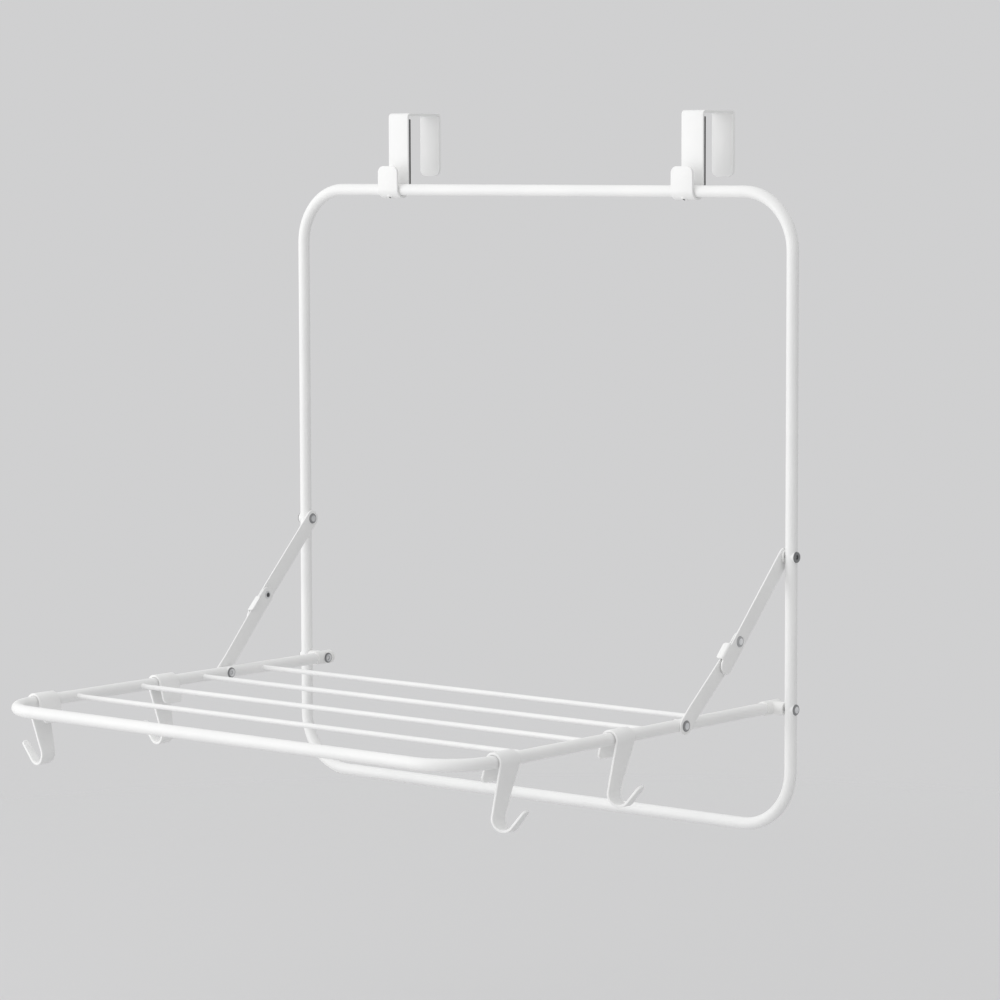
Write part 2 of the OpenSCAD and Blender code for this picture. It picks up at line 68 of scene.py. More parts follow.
eye_point = Vector((1.903859, -2.361434, -0.031055))
camera_yaw = math.radians(39.5528)
camera_pitch = math.radians(-5.2748)
camera_roll = math.radians(-0.1526)
sight_line = Vector((
    -math.sin(camera_yaw) * math.cos(camera_pitch),
    math.cos(camera_yaw) * math.cos(camera_pitch),
    math.sin(camera_pitch),
))
bpy.ops.object.camera_add(location=eye_point)
camera = bpy.context.object
camera.name = "camera"
camera.rotation_mode = "QUATERNION"
camera_turn = Matrix.Rotation(camera_roll, 3, "Z").to_quaternion()
camera.rotation_quaternion = sight_line.to_track_quat("-Z", "Y") @ camera_turn
camera.data.lens = 135.262
camera.data.sensor_width = 36
bpy.context.scene.camera = camera

# ---------------------------------------------------------------- wall frame
# The frame is one closed loop of thin steel tube, bent round a former and butt welded.
# It is powder coated satin white, which leaves a fine orange peel and a slightly clouded tone.

mix_a, mix_b, mix_result = 6, 7, 2  # a mix node's sockets for two colours and their mixture


def node_at(tree, kind, x, y, **settings):
    """Adds a shader node at its place in the tree, with its settings."""
    node = tree.nodes.new(kind)
    node.location = (x, y)
    for name, value in settings.items():
        setattr(node, name, value)
    return node


def link_sockets(tree, *pairs):
    """Links each pair of a shader tree's sockets, from the first to the second."""
    for source, target in pairs:
        tree.links.new(source, target)


def make_surface_grain():
    """Group: the fine grain and the broad clouding of a finish, over Object coordinates."""
    group = bpy.data.node_groups.new("surface_grain", "ShaderNodeTree")
    for name, way in (
        ("Grain per Metre", "INPUT"), ("Clouds per Metre", "INPUT"),
        ("Grain", "OUTPUT"), ("Clouds", "OUTPUT"),
    ):
        group.interface.new_socket(name, in_out=way, socket_type="NodeSocketFloat")
    given = node_at(group, "NodeGroupInput", -500, 0)
    place = node_at(group, "ShaderNodeTexCoord", -500, 300)
    fine = node_at(group, "ShaderNodeTexNoise", -200, 200)
    broad = node_at(group, "ShaderNodeTexNoise", -200, -150)
    result = node_at(group, "NodeGroupOutput", 100, 0)
    fine.inputs["Detail"].default_value = 2.0
    fine.inputs["Roughness"].default_value = 0.45
    broad.inputs["Detail"].default_value = 3.0
    link_sockets(
        group,
        (place.outputs["Object"], fine.inputs["Vector"]),
        (place.outputs["Object"], broad.inputs["Vector"]),
        (given.outputs["Grain per Metre"], fine.inputs["Scale"]),
        (given.outputs["Clouds per Metre"], broad.inputs["Scale"]),
        (fine.outputs["Fac"], result.inputs["Grain"]),
        (broad.outputs["Fac"], result.inputs["Clouds"]),
    )
    return group


surface_grain = make_surface_grain()


def make_finish(name, light, dark, smooth, rough, grain, clouds, bump, metallic=0.0):
    """A finish whose tone clouds between two colours, and whose gloss and relief are grained."""
    material = bpy.data.materials.new(name)
    material.use_nodes = True
    tree = material.node_tree
    shader = tree.nodes["Principled BSDF"]
    shader.inputs["Metallic"].default_value = metallic
    marks = node_at(tree, "ShaderNodeGroup", -900, 0, node_tree=surface_grain)
    marks.inputs["Grain per Metre"].default_value = grain
    marks.inputs["Clouds per Metre"].default_value = clouds
    spread = node_at(tree, "ShaderNodeMapRange", -650, 150)
    spread.inputs["From Min"].default_value = 0.35
    spread.inputs["From Max"].default_value = 0.65
    tone = node_at(tree, "ShaderNodeMix", -400, 250, data_type="RGBA")
    tone.inputs[mix_a].default_value = (*light, 1)
    tone.inputs[mix_b].default_value = (*dark, 1)
    gloss = node_at(tree, "ShaderNodeMapRange", -400, 0)
    gloss.inputs["To Min"].default_value = smooth
    gloss.inputs["To Max"].default_value = rough
    relief = node_at(tree, "ShaderNodeBump", -400, -250)
    relief.inputs["Strength"].default_value = 0.5
    relief.inputs["Distance"].default_value = bump
    link_sockets(
        tree,
        (marks.outputs["Clouds"], spread.inputs["Value"]),
        (spread.outputs["Result"], tone.inputs["Factor"]),
        (marks.outputs["Grain"], gloss.inputs["Value"]),
        (marks.outputs["Grain"], relief.inputs["Height"]),
        (tone.outputs[mix_result], shader.inputs["Base Color"]),
        (gloss.outputs["Result"], shader.inputs["Roughness"]),
        (relief.outputs["Normal"], shader.inputs["Normal"]),
    )
    return material


white_coat = make_finish(
    "white_powder_coat", light=(0.90, 0.90, 0.895), dark=(0.865, 0.867, 0.865),
    smooth=0.30, rough=0.46, grain=850.0, clouds=14.0, bump=0.00008,
)


def coat_node(name, material):
    """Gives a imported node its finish."""
    nodes[name].data.materials.clear()
    nodes[name].data.materials.append(material)


coat_node("wall_frame", white_coat)

# ---------------------------------------------------------------- over-door hooks
# Each hook is one flat strip of steel, bent cold: a cradle under the top rail with a tongue in
# front, a strap up the door, a bridge over its edge and a leg behind. Coated like the frame.

coat_edge = 0.0004  # radius that the coat leaves on a sheared edge
same_place = 0.00001  # two corners closer than this are one


def name_new(name):
    """Names the new piece in hand and its mesh, and gives the piece."""
    piece = bpy.context.object
    piece.name = name
    piece.data.name = name
    return piece


def add_blank(name, width, length, place, turn=(0, 0, 0)):
    """A flat blank, drawn as one face at its size and place, and left open for bending."""
    bpy.ops.object.select_all(action="DESELECT")
    bpy.ops.mesh.primitive_plane_add(size=1, location=place, rotation=turn)
    blank = name_new(name)
    blank.scale = (width, length, 1)
    bpy.ops.object.transform_apply(location=True, rotation=True, scale=True)
    bpy.ops.object.mode_set(mode="EDIT")
    return blank


def pick(wanted):
    """Selects the corners of the mesh in hand that pass a test on their place."""
    bpy.ops.mesh.select_mode(type="VERT")
    bpy.ops.mesh.select_all(action="DESELECT")
    mesh = bpy.context.object.data
    shape = bmesh.from_edit_mesh(mesh)
    for corner in shape.verts:
        corner.select_set(wanted(corner.co))
    shape.select_flush_mode()
    bmesh.update_edit_mesh(mesh)


def feed(x, y, z):
    """Draws the strip's picked end on in a straight line."""
    bpy.ops.mesh.extrude_region_move(TRANSFORM_OT_translate={"value": (x, y, z)})


def fold(centre, axis, degrees, steps):
    """Bends the strip's picked end on about a line."""
    bpy.ops.mesh.spin(steps=steps, angle=math.radians(degrees), center=centre, axis=axis)


def round_corners(radius, steps):
    """Rounds the picked corners of the flat blank."""
    bpy.ops.mesh.bevel(affect="VERTICES", offset=radius, segments=steps, clamp_overlap=True)


def finish_strip(piece, thickness):
    """Gives the bent face its thickness and its coated edges."""
    bpy.ops.mesh.select_all(action="SELECT")
    bpy.ops.mesh.remove_doubles(threshold=same_place)
    bpy.ops.mesh.normals_make_consistent(inside=False)
    bpy.ops.object.mode_set(mode="OBJECT")
    wall = piece.modifiers.new("wall", "SOLIDIFY")
    wall.thickness = thickness
    wall.offset = 0
    wall.use_even_offset = True
    edges = piece.modifiers.new("edges", "BEVEL")
    edges.width = coat_edge
    edges.segments = 3
    edges.limit_method = "ANGLE"
    edges.angle_limit = math.radians(50)
    for modifier in ("wall", "edges"):
        bpy.ops.object.modifier_apply(modifier=modifier)
    bpy.ops.object.shade_smooth_by_angle(angle=math.radians(35))


def take_up(piece):
    """Makes a piece the only one selected and the one in hand."""
    bpy.ops.object.select_all(action="DESELECT")
    piece.select_set(True)
    bpy.context.view_layer.objects.active = piece


def copy_of(piece, name):
    """Copies a piece with its own mesh, and takes up the copy."""
    take_up(piece)
    bpy.ops.object.duplicate()
    return name_new(name)


def both_sides(right):
    """Copies a right-hand piece to the left, and gives each of the two with its side."""
    left = copy_of(right, right.name.replace("right", "left"))
    bpy.ops.object.mode_set(mode="EDIT")
    bpy.ops.mesh.select_all(action="SELECT")
    bpy.ops.transform.resize(value=(-1, 1, 1), center_override=(0, 0, 0))
    bpy.ops.mesh.normals_make_consistent(inside=False)
    bpy.ops.object.mode_set(mode="OBJECT")
    return (left, "left"), (right, "right")


def fit(piece, material, slot, body, *replaced):
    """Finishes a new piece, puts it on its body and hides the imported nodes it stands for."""
    piece.data.materials.clear()
    piece.data.materials.append(material)
    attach(piece, body)
    if replaced:
        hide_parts(*replaced)


hook_strip = 0.002
hook_bend = 0.0025  # bend radius at the middle of the strip
hook_corner = 0.0055
tongue_rise = 0.0195  # how far the tongue stands above the rail's middle
leg_bottom = -0.05
frame_low, frame_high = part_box("wall_frame")
tube_radius = (frame_high.y - frame_low.y) / 2
rail_z = frame_high.z - tube_radius
hook_low, hook_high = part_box("over_door_hook_right")
pad_low, pad_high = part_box("door_pad_right")
hook_x = (hook_low.x + hook_high.x) / 2
strap_y = pad_low.y - hook_strip / 2
cradle_y = (hook_low.y + pad_low.y) / 2
cradle_z = hook_low.z + pad_low.y - cradle_y
tongue_top = rail_z + tongue_rise
rear_y = hook_high.y - hook_strip / 2
strap_top = hook_high.z - hook_strip / 2 - hook_bend
strap_length = strap_top - cradle_z

door_hook = add_blank(
    "door_hook_right", hook_high.x - hook_low.x, strap_length,
    (hook_x, strap_y, cradle_z + strap_length / 2), (math.radians(90), 0, 0),
)
pick(lambda co: co.z > strap_top - same_place)
fold((0, strap_y + hook_bend, strap_top), (1, 0, 0), degrees=90, steps=8)
feed(0, rear_y - strap_y - 2 * hook_bend, 0)
fold((0, rear_y - hook_bend, strap_top), (1, 0, 0), degrees=90, steps=8)
feed(0, 0, leg_bottom - strap_top)
pick(lambda co: co.y > 0 and co.z < leg_bottom + same_place)
round_corners(hook_corner, steps=8)
pick(lambda co: co.y < 0 and co.z < cradle_z + same_place)
fold((0, cradle_y, cradle_z), (1, 0, 0), degrees=180, steps=28)
feed(0, 0, tongue_top - cradle_z)
pick(lambda co: co.y < cradle_y and co.z > tongue_top - same_place)
round_corners(hook_corner, steps=8)
finish_strip(door_hook, hook_strip)
for piece, side in both_sides(door_hook):
    fit(piece, white_coat, "coat", "frame", "over_door_hook_" + side)

# ---------------------------------------------------------------- hooks' blind rivets
# A short blind rivet pins the top rail into each cradle from below and in front. Its low head is
# coated with the hook, and its open bore is left by the mandrel that broke off as it was set. The
# bore is bare steel, painted near black as painted shade for the depth of the hole.


def turn_on_lathe(name, outline, steps=40):
    """A piece turned about the Z axis. Each point of its outline starts with radius and height."""
    bpy.ops.object.select_all(action="DESELECT")
    bpy.ops.mesh.primitive_plane_add(size=0.001, location=(0, 0, 0))
    piece = name_new(name)
    bpy.ops.object.mode_set(mode="EDIT")
    bpy.ops.mesh.merge(type="CENTER")
    bpy.ops.transform.translate(value=(outline[0][0], 0, outline[0][1]))
    for here, there in zip(outline, outline[1:]):
        step = (there[0] - here[0], 0, there[1] - here[1])
        bpy.ops.mesh.extrude_vertices_move(TRANSFORM_OT_translate={"value": step})
    bpy.ops.mesh.select_all(action="SELECT")
    bpy.ops.mesh.spin(steps=steps, angle=math.tau, center=(0, 0, 0), axis=(0, 0, 1))
    bpy.ops.mesh.select_all(action="SELECT")
    bpy.ops.mesh.remove_doubles(threshold=same_place)
    bpy.ops.mesh.normals_make_consistent(inside=False)
    bpy.ops.object.mode_set(mode="OBJECT")
    bpy.ops.object.shade_smooth_by_angle(angle=math.radians(40))
    return piece


def set_in_place(piece, place, turn):
    """Turns and moves a piece that was made at the origin, and applies both to its mesh."""
    take_up(piece)
    piece.location = place
    piece.rotation_euler = turn
    bpy.ops.object.transform_apply(location=True, rotation=True, scale=True)


frame_y = (frame_low.y + frame_high.y) / 2
blind_lean = math.radians(150)  # from straight up, forward and down
blind_seat = tube_radius + hook_strip
blind_radius = 0.0028
blind_shank = 0.0016
blind_bore = 0.0011
blind_root = -0.004  # inside the rail, as its heights are taken from the seat
blind_outline = [(radius, blind_seat + rise) for radius, rise in (
    (0.0, -0.0016), (0.0008, -0.0018), (blind_bore, -0.0014), (blind_bore, 0.00066),
    (0.0012, 0.0007), (0.0018, 0.0006), (0.0023, 0.0004), (0.0027, 0.0001),
    (blind_radius, -0.0001), (blind_radius, -0.0009), (blind_shank, -0.0009),
    (blind_shank, blind_root), (0.0, blind_root),
)]
blind_rivet = turn_on_lathe("blind_rivet_right", blind_outline)
bore_faces = [
    face.index for face in blind_rivet.data.polygons if all(
        blind_rivet.data.vertices[corner].co.xy.length < blind_bore + same_place
        for corner in face.vertices)
]
set_in_place(blind_rivet, (hook_x, frame_y, rail_z), (blind_lean, 0, 0))
# painted shade: the bore's faces get a near-black finish, darker than bare steel, for the shade in
# the hole
bore_painted_shade = make_finish(
    "rivet_bore_painted_shade", light=(0.030, 0.030, 0.031), dark=(0.018, 0.018, 0.019),
    smooth=0.55, rough=0.75, grain=3000.0, clouds=400.0, bump=0.00003,
)
for piece, side in both_sides(blind_rivet):
    fit(piece, white_coat, "coat", "frame", "hook_rivet_" + side)
    piece.data.materials.append(bore_painted_shade)
    for index in bore_faces:
        piece.data.polygons[index].material_index = 1

# ---------------------------------------------------------------- door pads
# A strip of dark closed-cell foam, cut from sheet and glued behind each strap, keeps the steel
# off the door. The door presses it flat, and its edges show the cells that the knife opened.

foam = make_finish(
    "dark_foam", light=(0.085, 0.086, 0.088), dark=(0.045, 0.046, 0.048),
    smooth=0.75, rough=0.95, grain=1800.0, clouds=90.0, bump=0.0002,
)
foam_tree = foam.node_tree
cells = node_at(foam_tree, "ShaderNodeTexVoronoi", -900, -400, feature="DISTANCE_TO_EDGE")
cells.inputs["Scale"].default_value = 2600.0
cell_place = node_at(foam_tree, "ShaderNodeTexCoord", -1100, -400)
cell_relief = node_at(foam_tree, "ShaderNodeBump", -200, -400)
cell_relief.inputs["Strength"].default_value = 0.6
cell_relief.inputs["Distance"].default_value = 0.00015
link_sockets(
    foam_tree,
    (cell_place.outputs["Object"], cells.inputs["Vector"]),
    (cells.outputs["Distance"], cell_relief.inputs["Height"]),
    (foam_tree.nodes["Bump"].outputs["Normal"], cell_relief.inputs["Normal"]),
    (cell_relief.outputs["Normal"], foam_tree.nodes["Principled BSDF"].inputs["Normal"]),
)

pad_size = pad_high - pad_low
pad_edge = 0.0005
bpy.ops.object.select_all(action="DESELECT")
bpy.ops.mesh.primitive_cube_add(size=1, location=(pad_low + pad_high) / 2)
foam_pad = name_new("foam_pad_right")
foam_pad.scale = pad_size
bpy.ops.object.transform_apply(location=True, rotation=True, scale=True)
bpy.ops.object.mode_set(mode="EDIT")
bpy.ops.mesh.select_all(action="SELECT")
bpy.ops.mesh.bevel(affect="EDGES", offset=pad_edge, segments=4)
for share in (0.25, 0.5, 0.75):
    bpy.ops.mesh.select_all(action="SELECT")
    bpy.ops.mesh.bisect(plane_co=pad_low + pad_size * share, plane_no=(0, 0, 1))
bpy.ops.object.mode_set(mode="OBJECT")
bpy.ops.object.shade_smooth_by_angle(angle=math.radians(40))
for piece, side in both_sides(foam_pad):
    fit(piece, foam, "foam", "frame", "door_pad_" + side)

# ---------------------------------------------------------------- shelf and wires
# The shelf is a U of the frame's tube with four drying wires between its arms. Each wire's ends
# are welded to the arms, which leaves a small bead at each, and the whole shelf is coated.

for name in ("shelf_tube", "wire_1", "wire_2", "wire_3", "wire_4"):
    coat_node(name, white_coat)

shelf_low, shelf_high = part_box("shelf_tube")
pivot_z = (shelf_low.z + shelf_high.z) / 2
arm_x = shelf_high.x - tube_radius
wire_low, wire_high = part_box("wire_1")
wire_radius = (wire_high.z - wire_low.z) / 2
bead_radius = wire_radius + 0.00035
bead_shoulder = wire_radius + 0.0003
bead_reach = 0.0034  # how far it runs out along the wire
bead_root = 0.0033  # how far it goes into the arm
bead_outline = [
    (0.0, -bead_reach), (wire_radius * 0.9, -bead_reach), (wire_radius + 0.0001, -0.0031),
    (bead_shoulder, -0.0022), (bead_radius, -0.0010), (bead_radius, 0.0),
    (bead_radius, 0.0010), (bead_shoulder, 0.0021), (wire_radius, 0.0029),
    (0.0012, bead_root), (0.0, bead_root),
]
weld_bead = turn_on_lathe("weld_bead", bead_outline, steps=28)
set_in_place(weld_bead, (arm_x - tube_radius, 0, pivot_z), (0, math.radians(90), 0))
lumps = bpy.data.textures.new("weld_lumps", "CLOUDS")
lumps.noise_scale = 0.0018
ripple = weld_bead.modifiers.new("ripple", "DISPLACE")
ripple.texture = lumps
ripple.strength = 0.0004
bpy.ops.object.modifier_apply(modifier="ripple")
for wire in (1, 2, 3, 4):
    low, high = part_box("wire_%d" % wire)
    bead = copy_of(weld_bead, "weld_right_%d" % wire)
    set_in_place(bead, (0, (low.y + high.y) / 2, 0), (0, 0, 0))
    for piece, _ in both_sides(bead):
        fit(piece, white_coat, "coat", "shelf")
bpy.data.objects.remove(weld_bead)

# ---------------------------------------------------------------- arm caps and bushes
# A white moulded cap closes each arm's rear end, and a bush on the same pivot keeps the arm off
# the frame. Both are polypropylene, smoother and glossier than the coat, with soft lips.

white_plastic = make_finish(
    "white_moulded_plastic", light=(0.88, 0.88, 0.87), dark=(0.85, 0.85, 0.84),
    smooth=0.24, rough=0.34, grain=2200.0, clouds=40.0, bump=0.00003,
)


def arc(centre, radius, start, end, steps):
    """Points of an outline's round part, from one angle to another."""
    turns = [math.radians(start + (end - start) * step / steps) for step in range(steps + 1)]
    return [(centre[0] + radius * math.cos(t), centre[1] + radius * math.sin(t)) for t in turns]


cap_low, cap_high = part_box("arm_cap_right")
cap_radius = (cap_high.x - cap_low.x) / 2
cap_rear = cap_high.y - frame_y
cap_front = cap_low.y - frame_y
cap_lip = 0.0004
cap_wall = 0.0042  # how thick the cap is behind the arm
dome_end = math.degrees(math.acos((cap_radius - cap_lip) / cap_rear))
dome_edge = cap_rear * math.sin(math.radians(dome_end))
cap_outline = [
    *arc((0, 0), cap_rear, start=90, end=dome_end, steps=10),
    (cap_radius - 0.0001, dome_edge - 0.0004), (cap_radius, dome_edge - 0.0009),
    *arc((cap_radius - cap_lip, cap_front + cap_lip), cap_lip, start=0, end=-90, steps=5),
    (tube_radius, cap_front), (tube_radius, cap_rear - cap_wall), (0, cap_rear - cap_wall),
]
end_cap = turn_on_lathe("end_cap_right", cap_outline, steps=56)
set_in_place(end_cap, (arm_x, frame_y, pivot_z), (math.radians(-90), 0, 0))

bush_low, bush_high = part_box("pivot_bush_right")
bush_radius = (bush_high.z - bush_low.z) / 2
bush_lip = 0.0005
bush_bore = 0.00245
bush_start = arm_x + cap_radius * 0.6  # inside the cap
bush_length = bush_high.x - bush_start
bush_outline = [
    (bush_bore, 0), (bush_radius, 0),
    *arc((bush_radius - bush_lip, bush_length - bush_lip), bush_lip, start=0, end=90, steps=5),
    (bush_bore, bush_length), (bush_bore, 0),
]
spacer_bush = turn_on_lathe("spacer_bush_right", bush_outline)
set_in_place(spacer_bush, (bush_start, frame_y, pivot_z), (0, math.radians(90), 0))
for right, node in ((end_cap, "arm_cap_"), (spacer_bush, "pivot_bush_")):
    for piece, side in both_sides(right):
        fit(piece, white_plastic, "cap", "shelf", node + side)

# ---------------------------------------------------------------- pivot rivets and washers
# Semi-tubular steel rivets, zinc plated: a low head at one end, and at the other a hollow tail
# rolled over in the press. Their rims and bores are painted near black, as painted shade and a
# painted dark reflection. White plastic washers keep the braces off the side tubes.

zinc_plate = make_finish(
    "zinc_plate", light=(0.86, 0.865, 0.87), dark=(0.70, 0.71, 0.725),
    smooth=0.26, rough=0.44, grain=2600.0, clouds=260.0, bump=0.00006, metallic=1.0,
)
zinc_tree = zinc_plate.node_tree
# painted shade: a per-corner attribute mixes the zinc towards near black on rims and in bores
painted_shade = node_at(zinc_tree, "ShaderNodeAttribute", -400, 500, attribute_name="painted_shade")
painted_shade_mix = node_at(zinc_tree, "ShaderNodeMix", -150, 350, data_type="RGBA")
# the near-black colour of the painted shade and painted dark reflection
painted_shade_mix.inputs[mix_b].default_value = (0.10, 0.102, 0.106, 1)
link_sockets(
    zinc_tree,
    (painted_shade.outputs["Fac"], painted_shade_mix.inputs["Factor"]),
    (zinc_tree.nodes["Mix"].outputs[mix_result], painted_shade_mix.inputs[mix_a]),
    (painted_shade_mix.outputs[mix_result], zinc_tree.nodes["Principled BSDF"].inputs["Base Color"]),
)


def paint_shade(piece, outline):
    """Writes the painted shade at each corner, from the outline's third values: it darkens the
    zinc as painted shade and a painted dark reflection.
    """
    shades = []
    for corner in piece.data.vertices:
        radius = math.hypot(corner.co.x, corner.co.y)
        nearest = min(outline, key=lambda p: (p[0] - radius) ** 2 + (p[1] - corner.co.z) ** 2)
        shades.append(nearest[2])
    layer = piece.data.attributes.new("painted_shade", "FLOAT", "POINT")
    layer.data.foreach_set("value", shades)


def head_outline(radius, height, shank, crown_shade=0.0, rim_shade=0.7):
    """A low head from its crown at 0 down to its shank; each point's painted shade comes last."""
    return [
        (0.0, 0.0, crown_shade), (radius * 0.30, height * 0.03, crown_shade),
        (radius * 0.54, height * 0.10, crown_shade), (radius * 0.66, height * 0.18, 0.6),
        (radius * 0.78, height * 0.28, rim_shade), (radius * 0.88, height * 0.42, rim_shade),
        (radius * 0.96, height * 0.66, rim_shade), (radius, height, rim_shade), (shank, height, rim_shade),
    ]


def tail_outline(radius, bore, height, shank, end, floor, rim_shade=0.8):
    """A rolled tail from its shank up to the rim at the end, and down into its bore. Each point's
    painted shade comes last, from the rim's value outside to the floor's value in the bore.
    """
    foot = end - height
    half = (radius - bore) / 2
    lip_shade = (rim_shade + 3 * floor) / 4
    return [
        (shank, foot, rim_shade), (radius, foot, rim_shade),
        (radius - half * 0.12, foot + height * 0.50, rim_shade),
        (radius - half * 0.45, foot + height * 0.88, rim_shade), (radius - half * 0.9, end, lip_shade),
        (bore + half * 0.70, foot + height * 0.94, floor),
        (bore + half * 0.25, foot + height * 0.6, floor), (bore, foot + height * 0.3, floor + 0.3),
        (bore, foot, floor + 0.3), (bore * 0.7, foot - 0.0004, floor + 0.15),
        (0.0, foot - 0.0005, floor),
    ]


rivet_radius = 0.0043
rivet_shank = 0.0024
rivet_rise = 0.0012
rivet_bore = 0.0015
saddle_depth = 0.0030
saddle_radius = rivet_radius + 0.0002
saddle_outline = [
    (rivet_shank, 0.0), (rivet_radius - 0.0002, 0.0), (rivet_radius, -0.0001),
    (rivet_radius + 0.0001, -0.0006), (saddle_radius, -saddle_depth),
    (rivet_shank, -saddle_depth), (rivet_shank, 0.0),
]
# the last two values are the painted shade on the head's top and in the tail's bore
for name, node, body, head_inward, saddle_outward, crown_shade, well_shade in (
    ("brace_pin", "brace_rivet_", "frame", True, True, 0.25, 0.75),
    ("shelf_pin", "shelf_rivet_", "frame", False, True, 0.05, 0.15),
    ("arm_pin", "arm_rivet_", "shelf", False, False, 0.05, 0.05),
):
    low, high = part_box(node + "right")
    middle = (low + high) / 2
    outline = head_outline(rivet_radius, rivet_rise, rivet_shank, crown_shade)
    outline += tail_outline(
        rivet_radius, rivet_bore, rivet_rise, rivet_shank, end=high.x - low.x, floor=well_shade)
    rivet = turn_on_lathe(name + "_right", outline)
    # paints the head's rim and the tail's rim and bore dark, as painted shade
    paint_shade(rivet, outline)
    start, turn = (low.x, 90) if head_inward else (high.x, -90)
    set_in_place(rivet, (start, middle.y, middle.z), (0, math.radians(turn), 0))
    # the round tube is drawn up to a flat, coated saddle under the rivet's end
    saddle = turn_on_lathe(name + "_saddle_right", saddle_outline)
    start, turn = (high.x - rivet_rise, 90) if saddle_outward else (low.x + rivet_rise, -90)
    set_in_place(saddle, (start, middle.y, middle.z), (0, math.radians(turn), 0))
    for piece, side in both_sides(rivet):
        fit(piece, zinc_plate, "zinc", body, node + side)
    for piece, _ in both_sides(saddle):
        fit(piece, white_coat, "coat", body)

washer_low, washer_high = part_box("brace_washer_right")
washer_z = (washer_low.z + washer_high.z) / 2
washer_radius = (washer_high.z - washer_low.z) / 2
washer_depth = 0.0016
washer_edge = 0.0002
washer_outline = [
    (rivet_shank, 0.0), (washer_radius - washer_edge, 0.0), (washer_radius, washer_edge),
    (washer_radius, washer_depth - washer_edge), (washer_radius - washer_edge, washer_depth),
    (rivet_shank, washer_depth), (rivet_shank, 0.0),
]
washer = turn_on_lathe("washer_right", washer_outline)
set_in_place(washer, (washer_low.x, frame_y, washer_z), (0, math.radians(90), 0))
for piece, side in both_sides(washer):
    fit(piece, white_plastic, "cap", "frame", "brace_washer_" + side)

# ---------------------------------------------------------------- folding braces
# Each brace is two flat steel links, blanked and coated. The upper link carries an ear folded
# over the lower one, which stops the elbow when it has passed the straight line.

link_strip = 0.0014
link_width = 0.0135
link_round = link_width / 2 - 0.00002  # just short of a full round, so its two corners stay apart
link_tail = 0.030  # how far the upper link runs on past the elbow
ear_start = 0.0085
ear_length = 0.0145
ear_reach = 0.0062
ear_corner = 0.002
ear_bend = 0.0012
ear_play = 0.0002
crank_flat = 0.011
crank_ease = 0.003  # how far each bend of the crank is eased to both sides


def pivot_of(node):
    """Where a rivet's axis crosses the side plane: forward of the door, and up."""
    low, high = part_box(node)
    return Vector((-(low.y + high.y) / 2, (low.z + high.z) / 2))


def lay_link(piece, outer_x, pivot, lean):
    """Lays a link, drawn along X with its thickness inward along Z, beside the frame."""
    turn = (math.radians(90), -lean, math.radians(-90))
    set_in_place(piece, (outer_x, -pivot.x, pivot.y), turn)


upper_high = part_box("upper_link_right")[1]
lower_low, lower_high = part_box("lower_link_right")
brace_pivot = pivot_of("brace_rivet_right")
elbow = pivot_of("elbow_rivet_right")
arm_pivot = pivot_of("arm_rivet_right")
link_length = (elbow - brace_pivot).length
upper_lean = math.atan2(elbow.y - brace_pivot.y, elbow.x - brace_pivot.x)
lower_lean = math.atan2(elbow.y - arm_pivot.y, elbow.x - arm_pivot.x)
past_line = lower_lean - upper_lean - math.pi  # how far the elbow locks past a straight line
ear_end = ear_start + ear_length
ear_y = (
    link_width / 2 / math.cos(past_line) + ear_end * math.tan(past_line)
    + ear_play + link_strip / 2
)

upper_span = link_length + link_tail + link_width / 2
upper_link = add_blank(
    "upper_brace_right", upper_span, link_width,
    (upper_span / 2 - link_width / 2, 0, link_strip / 2),
)
for cut in (link_length + ear_start, link_length + ear_end):
    bpy.ops.mesh.select_all(action="SELECT")
    bpy.ops.mesh.bisect(plane_co=(cut, 0, 0), plane_no=(1, 0, 0))
pick(lambda co: co.y > 0 and link_length < co.x < link_length + ear_end + same_place)
feed(0, ear_y - ear_bend - link_width / 2, 0)
fold((0, ear_y - ear_bend, link_strip / 2 + ear_bend), (1, 0, 0), degrees=-90, steps=6)
feed(0, 0, ear_reach - link_strip / 2 - ear_bend)
pick(lambda co: co.z > ear_reach - same_place)
round_corners(ear_corner, steps=6)
for end in (-link_width / 2, link_length + link_tail):
    pick(lambda co: abs(co.x - end) < same_place)
    round_corners(link_round, steps=12)
finish_strip(upper_link, link_strip)
lay_link(upper_link, upper_high.x, brace_pivot, upper_lean)

crank = lower_high.x - lower_low.x - link_strip
foot_span = crank_flat + link_width / 2
lower_link = add_blank(
    "lower_brace_right", foot_span, link_width,
    (foot_span / 2 - link_width / 2, 0, crank + link_strip / 2),
)
pick(lambda co: co.x > 0)
feed(link_length - 2 * crank_flat, 0, -crank)
feed(foot_span, 0, 0)
for bend in (crank_flat, link_length - crank_flat):
    pick(lambda co: abs(co.x - bend) < same_place)
    bpy.ops.mesh.bevel(affect="EDGES", offset=crank_ease, segments=4)
for end in (-link_width / 2, link_length + link_width / 2):
    pick(lambda co: abs(co.x - end) < same_place)
    round_corners(link_round, steps=12)
finish_strip(lower_link, link_strip)
lay_link(lower_link, lower_high.x, arm_pivot, lower_lean)
for right, part in ((upper_link, "upper"), (lower_link, "lower")):
    for piece, side in both_sides(right):
        fit(piece, white_coat, "coat", side + "_" + part + "_link", part + "_link_" + side)

# ---------------------------------------------------------------- elbow rivets
# One rivet joins each brace's links: its domed head stands on the upper link, outside, and its
# rolled tail on the lower link, inside. It is in two halves, because each turns with its link.
# Its rim and its bore are painted dark as painted shade.

elbow_low, elbow_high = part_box("elbow_rivet_right")
elbow_length = elbow_high.x - elbow_low.x
# the third values are painted shade: the head's rim and its shank painted dark
elbow_outline = head_outline(rivet_radius, rivet_rise, rivet_shank, rim_shade=0.45)
elbow_outline += [(rivet_shank, elbow_length, 1.0), (0.0, elbow_length, 1.0)]
elbow_head = turn_on_lathe("elbow_head_right", elbow_outline)
paint_shade(elbow_head, elbow_outline)
set_in_place(elbow_head, (elbow_high.x, -elbow.x, elbow.y), (0, math.radians(-90), 0))

